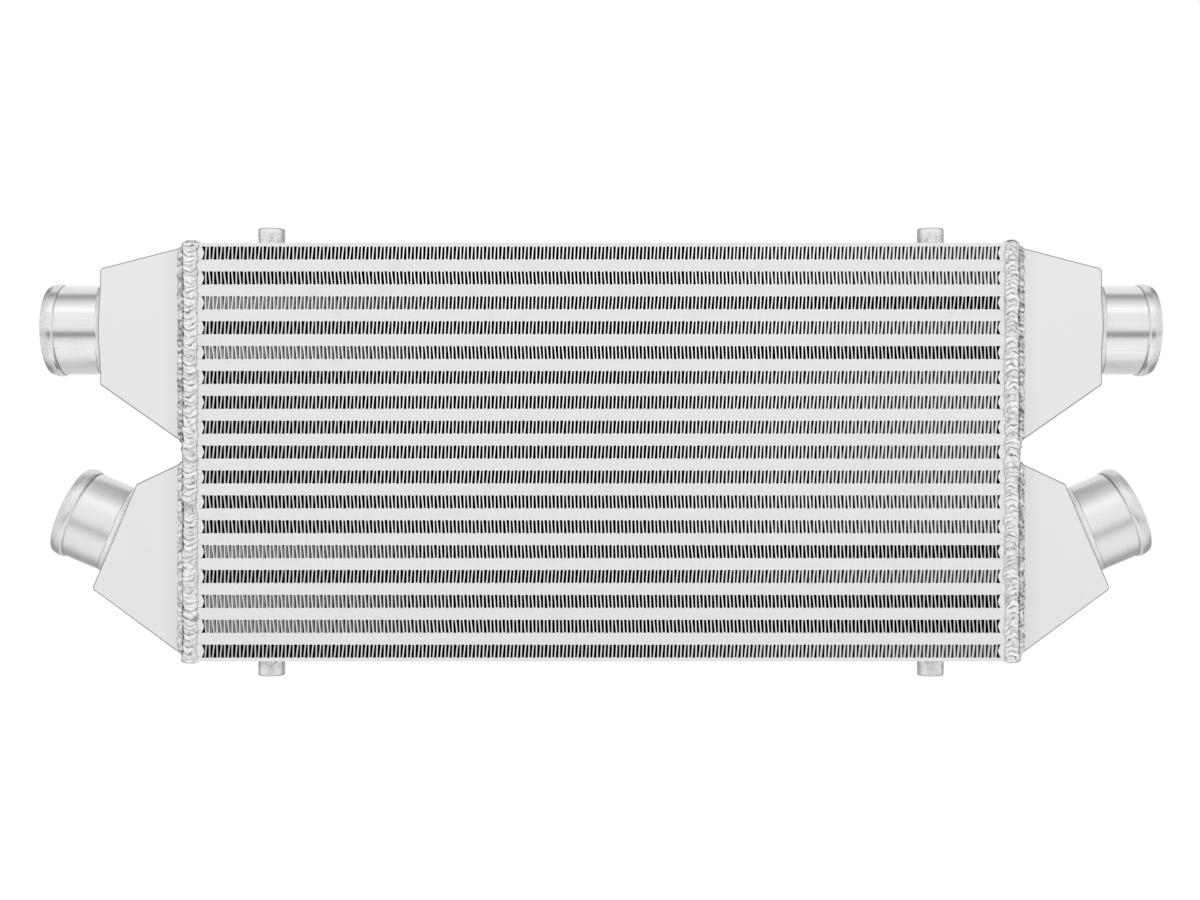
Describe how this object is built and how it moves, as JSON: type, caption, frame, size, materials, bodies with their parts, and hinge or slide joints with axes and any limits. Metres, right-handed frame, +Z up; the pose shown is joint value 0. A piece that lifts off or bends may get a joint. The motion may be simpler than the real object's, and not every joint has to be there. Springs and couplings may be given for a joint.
{
  "type": "intercooler",
  "caption": "Bar-and-plate charge-air cooler with a finned core between split end tanks, two hose stubs per side and threaded mounting bosses.",
  "frame": {"origin": "centre of the core, which is also the centre of the part's box", "axes": "+X across the car towards the right-hand stubs, +Y along the outside air's path, +Z up towards the higher pair of stubs' tanks"},
  "size_m": [0.7878, 0.0812, 0.3208],
  "materials": {
    "satin_sheet": "bead-blasted satin sheet",
    "bar_stock": "brazed mill finish",
    "fin_stock": "thin rolled sheet, louvred",
    "brushed_tube": "brushed round the tube",
    "turned_bar": "turned bar, etched",
    "weld_metal": "rippled weld bead, as laid",
    "dressed_weld": "smooth fillet weld"
  },
  "bodies": {
    "root": {"ambient_fin_01": "fin_stock", "ambient_fin_02": "fin_stock", "ambient_fin_03": "fin_stock", "ambient_fin_04": "fin_stock", "ambient_fin_05": "fin_stock", "ambient_fin_06": "fin_stock", "ambient_fin_07": "fin_stock", "ambient_fin_08": "fin_stock", "ambient_fin_09": "fin_stock", "ambient_fin_10": "fin_stock", "ambient_fin_11": "fin_stock", "ambient_fin_12": "fin_stock", "ambient_fin_13": "fin_stock", "ambient_fin_14": "fin_stock", "ambient_fin_15": "fin_stock", "ambient_fin_16": "fin_stock", "ambient_fin_17": "fin_stock", "back_bars": "bar_stock", "bottom_left_boss": "turned_bar", "bottom_left_boss_weld": "weld_metal", "bottom_plate": "bar_stock", "bottom_right_boss": "turned_bar", "bottom_right_boss_weld": "weld_metal", "charge_fins": "fin_stock", "front_bars": "bar_stock", "left_end_bars": "bar_stock", "left_seam_weld": "weld_metal", "lower_left_stub": "brushed_tube", "lower_left_stub_weld": "dressed_weld", "lower_left_tank": "satin_sheet", "lower_left_tank_weld": "weld_metal", "lower_right_stub": "brushed_tube", "lower_right_stub_weld": "dressed_weld", "lower_right_tank": "satin_sheet", "lower_right_tank_weld": "weld_metal", "parting_sheets": "bar_stock", "right_end_bars": "bar_stock", "right_seam_weld": "weld_metal", "top_left_boss": "turned_bar", "top_left_boss_weld": "weld_metal", "top_plate": "bar_stock", "top_right_boss": "turned_bar", "top_right_boss_weld": "weld_metal", "upper_left_stub": "brushed_tube", "upper_left_stub_weld": "dressed_weld", "upper_left_tank": "satin_sheet", "upper_left_tank_weld": "weld_metal", "upper_right_stub": "brushed_tube", "upper_right_stub_weld": "dressed_weld", "upper_right_tank": "satin_sheet", "upper_right_tank_weld": "weld_metal"}
  },
  "joints": []
}
